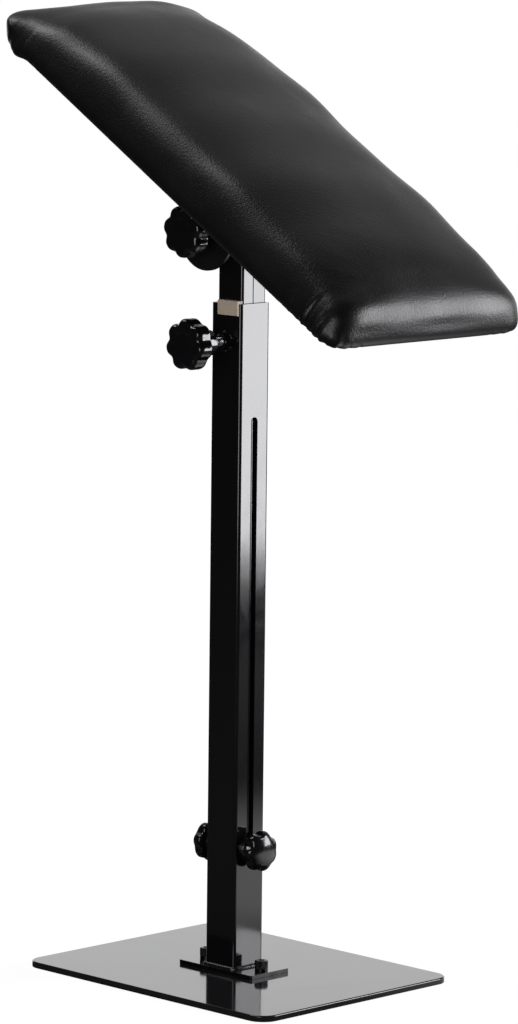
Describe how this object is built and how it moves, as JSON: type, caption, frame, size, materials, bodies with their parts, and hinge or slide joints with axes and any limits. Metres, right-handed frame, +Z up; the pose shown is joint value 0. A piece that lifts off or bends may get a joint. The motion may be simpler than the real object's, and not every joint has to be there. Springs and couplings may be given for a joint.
{
  "type": "tattoo arm rest stand",
  "caption": "Height-adjustable tattoo arm rest stand: a steel base plate, a telescoping square post with star knobs, and a padded black rest that tilts on a hinge.",
  "frame": {"origin": "centre of the post's axis on the floor, at the base plate's underside", "axes": "+Z up along the post, +X along the pad towards its low end, +Y away from the side of the clamp and tilt knobs"},
  "size_m": [0.4612, 0.26, 0.9338],
  "materials": {
    "plate_black": "gloss black stoved enamel",
    "tube_black": "satin black powder coat",
    "bracket_black": "black powder coat",
    "screw_black": "blackened steel, oiled",
    "zinc": "bright zinc plate",
    "brass": "turned brass",
    "strip_nylon": "beige nylon, worn",
    "bush_nylon": "natural nylon",
    "knob_plastic": "moulded black thermoset plastic, polished",
    "pad_leather": "black synthetic leather with a fine grain, satin",
    "foam": "open-cell upholstery foam, sealed in the cover",
    "ply": "plywood, raw",
    "cloth": "black non-woven cloth"
  },
  "bodies": {
    "stand": {"base_plate": "plate_black", "foot_flange": "tube_black", "foot_weld": "tube_black", "foot_screws": "screw_black", "foot_lock_washers": "screw_black", "outer_tube": "tube_black", "clamp_nut": "tube_black", "wear_strip": "strip_nylon"},
    "clamp_screw": {"clamp_stud": "zinc"},
    "clamp_grip": {"clamp_knob": "knob_plastic"},
    "mast": {"inner_tube": "tube_black", "hinge_sleeve": "bracket_black", "hinge_bushes": "bush_nylon", "slot_bolt": "zinc", "slot_washers": "zinc"},
    "front_nut": {"front_knob_insert": "brass"},
    "front_grip": {"front_slot_knob": "knob_plastic"},
    "rear_nut": {"rear_knob_insert": "brass"},
    "rear_grip": {"rear_slot_knob": "knob_plastic"},
    "rest": {"tilt_bracket": "bracket_black", "bracket_screws": "zinc", "bracket_washers": "zinc", "tee_nuts": "zinc", "pad_board": "ply", "pad_foam": "foam", "pad_cover": "pad_leather", "underside_cloth": "cloth", "hinge_bolt": "zinc"},
    "tilt_nut": {"tilt_knob_insert": "brass"},
    "tilt_grip": {"tilt_knob": "knob_plastic"}
  },
  "joints": [
    {"name": "clamp_advance", "type": "slide", "parent": "stand", "child": "clamp_screw", "axis": [0, -1, 0], "range_m": [0, 0.0025]},
    {"name": "clamp_turn", "type": "hinge", "parent": "clamp_screw", "child": "clamp_grip", "pos_m": [0, -0.06, 0.6215], "axis": [0, -1, 0], "range_deg": [0, 720]},
    {"name": "height", "type": "slide", "parent": "stand", "child": "mast", "axis": [0, 0, 1], "range_m": [0, 0.417]},
    {"name": "front_nut_advance", "type": "slide", "parent": "mast", "child": "front_nut", "axis": [1, 0, 0], "range_m": [0, 0.0025]},
    {"name": "front_nut_turn", "type": "hinge", "parent": "front_nut", "child": "front_grip", "pos_m": [0.03, 0, 0.127], "axis": [1, 0, 0], "range_deg": [0, 720]},
    {"name": "rear_nut_advance", "type": "slide", "parent": "mast", "child": "rear_nut", "axis": [-1, 0, 0], "range_m": [0, 0.0025]},
    {"name": "rear_nut_turn", "type": "hinge", "parent": "rear_nut", "child": "rear_grip", "pos_m": [-0.03, 0, 0.127], "axis": [-1, 0, 0], "range_deg": [0, 720]},
    {"name": "pad_tilt", "type": "hinge", "parent": "mast", "child": "rest", "pos_m": [0, 0.0014, 0.7295], "axis": [0, 1, 0], "range_deg": [-120, 59]},
    {"name": "tilt_nut_advance", "type": "slide", "parent": "rest", "child": "tilt_nut", "axis": [0, -1, 0], "range_m": [0, 0.0025]},
    {"name": "tilt_nut_turn", "type": "hinge", "parent": "tilt_nut", "child": "tilt_grip", "pos_m": [0, -0.06, 0.7295], "axis": [0, -1, 0], "range_deg": [0, 720]}
  ],
  "couplings": [
    {"joint": "clamp_advance", "follows": "clamp_turn", "m_per_rad": 0.00019894},
    {"joint": "front_nut_advance", "follows": "front_nut_turn", "m_per_rad": 0.00019894},
    {"joint": "rear_nut_advance", "follows": "rear_nut_turn", "m_per_rad": 0.00019894},
    {"joint": "tilt_nut_advance", "follows": "tilt_nut_turn", "m_per_rad": 0.00019894}
  ]
}
